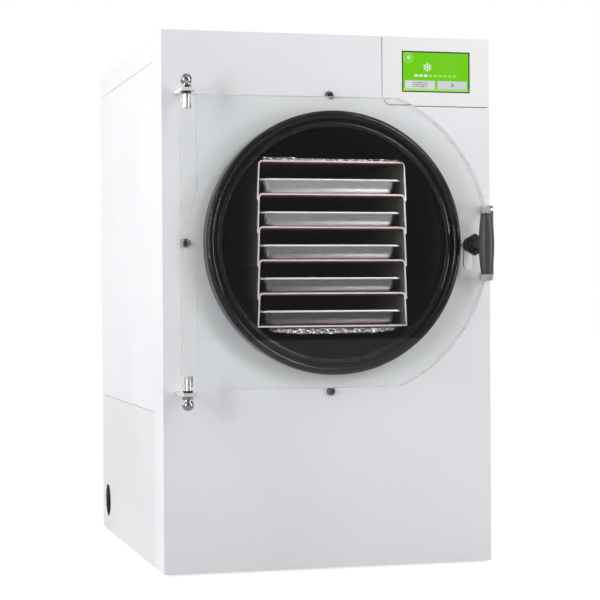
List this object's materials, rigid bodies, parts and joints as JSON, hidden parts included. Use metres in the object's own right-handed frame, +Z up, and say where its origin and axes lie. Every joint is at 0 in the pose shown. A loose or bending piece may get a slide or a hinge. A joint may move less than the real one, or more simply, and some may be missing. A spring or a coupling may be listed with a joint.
{
  "type": "home freeze dryer",
  "caption": "Tall white steel cabinet with a round vacuum chamber behind a thick clear side-hung door with a barrel latch grip; shelf rack with trays and a small touch display.",
  "frame": {"origin": "middle of the whole object's footprint, on the floor", "axes": "+Z up; the door and display face -Y; the latch is at +X, the hinges at -X"},
  "size_m": [0.46, 0.658, 0.724],
  "materials": {
    "painted_sheet": "white powder coat",
    "white_paint": "smooth white powder coat",
    "cover_paint": "smooth pale grey-white powder coat",
    "cover_plastic": "smooth off-white powder coat",
    "zinc_sheet": "zinc-plated sheet",
    "zinc_screws": "zinc-plated",
    "dark_bolts": "dark bright plating",
    "black_chamber": "dark, smooth",
    "gasket_rubber": "smooth moulded black rubber",
    "foot_rubber": "matt black rubber",
    "copper": "bare copper tube",
    "black_foam": "closed-cell foam",
    "steel_shelf": "stainless sheet with bright cut edges",
    "tray_steel": "satin stainless",
    "bright_steel": "turned stainless",
    "hinge_steel": "bright stainless sheet",
    "chrome_nuts": "polished",
    "keeper_chrome": "polished sheet",
    "red_silicone": "dark red silicone",
    "foil": "crinkled foil",
    "clear_acrylic": "clear cast acrylic with polished edges",
    "black_plastic": "fine matt black",
    "grip_plastic": "satin black",
    "white_plastic": "natural white plastic",
    "display_glass": "glossy display with a green screen",
    "circuit_board": "green board",
    "black_paint": "black enamel",
    "fin_aluminium": "bare fins",
    "brass_fitting": "turned brass"
  },
  "bodies": {
    "cabinet": {"base_pan": "painted_sheet", "feet": "foot_rubber", "corner_posts": "zinc_sheet", "front_panel": "white_paint", "left_side_panel": "white_paint", "right_side_panel": "white_paint", "left_lower_cover": "cover_paint", "right_lower_cover": "cover_paint", "top_panel": "white_paint", "back_panel": "white_paint", "panel_screws": "zinc_screws", "chamber_deck": "zinc_sheet", "chamber_cradle": "zinc_sheet", "chamber_shell": "black_chamber", "flange_bolts": "dark_bolts", "door_gasket": "gasket_rubber", "evaporator_coil": "copper", "chamber_insulation": "black_foam", "shelf_rack": "steel_shelf", "rack_skids": "white_plastic", "heater_mats": "red_silicone", "tray_1": "tray_steel", "tray_2": "tray_steel", "tray_3": "tray_steel", "tray_4": "tray_steel", "tray_5": "tray_steel", "foil_pads": "foil", "hinge_brackets": "hinge_steel", "hinge_washers": "black_plastic", "keeper_bracket": "keeper_chrome", "keeper_screws": "bright_steel", "control_cover": "cover_plastic", "display_seal": "black_plastic", "touch_display": "display_glass", "control_board": "circuit_board", "power_board": "circuit_board", "power_entry": "black_plastic", "compressor": "black_paint", "compressor_mounts": "foot_rubber", "condenser": "fin_aluminium", "fan_shroud": "zinc_sheet", "fan_motor": "black_paint", "filter_drier": "copper", "refrigerant_lines": "copper", "vacuum_pipe": "tray_steel", "vacuum_port": "brass_fitting", "drain_tube": "white_plastic", "drain_fitting": "brass_fitting"},
    "door": {"door_plate": "clear_acrylic", "hinge_inserts": "bright_steel", "hinge_studs": "bright_steel", "acorn_nuts": "chrome_nuts", "latch_base": "black_plastic", "latch_washer": "black_plastic"},
    "latch": {"latch_spindle": "bright_steel", "latch_grip": "grip_plastic", "latch_tongue": "bright_steel", "latch_nut": "bright_steel"},
    "fan": {"fan_blade": "black_plastic"},
    "rocker": {"switch_rocker": "black_plastic"}
  },
  "joints": [
    {"name": "door_hinge", "type": "hinge", "parent": "cabinet", "child": "door", "pos_m": [-0.204, -0.255, 0.4415], "axis": [0, 0, -1], "range_deg": [0, 170]},
    {"name": "latch_turn", "type": "hinge", "parent": "door", "child": "latch", "pos_m": [0.187, -0.2687, 0.4385], "axis": [0, -1, 0], "range_deg": [0, 90]},
    {"name": "fan_spin", "type": "hinge", "parent": "cabinet", "child": "fan", "pos_m": [-0.1685, 0.018, 0.10985], "axis": [1, 0, 0], "continuous": true},
    {"name": "rocker_turn", "type": "hinge", "parent": "cabinet", "child": "rocker", "pos_m": [0.17, 0.313, 0.094], "axis": [1, 0, 0], "range_deg": [-16, 0]}
  ]
}
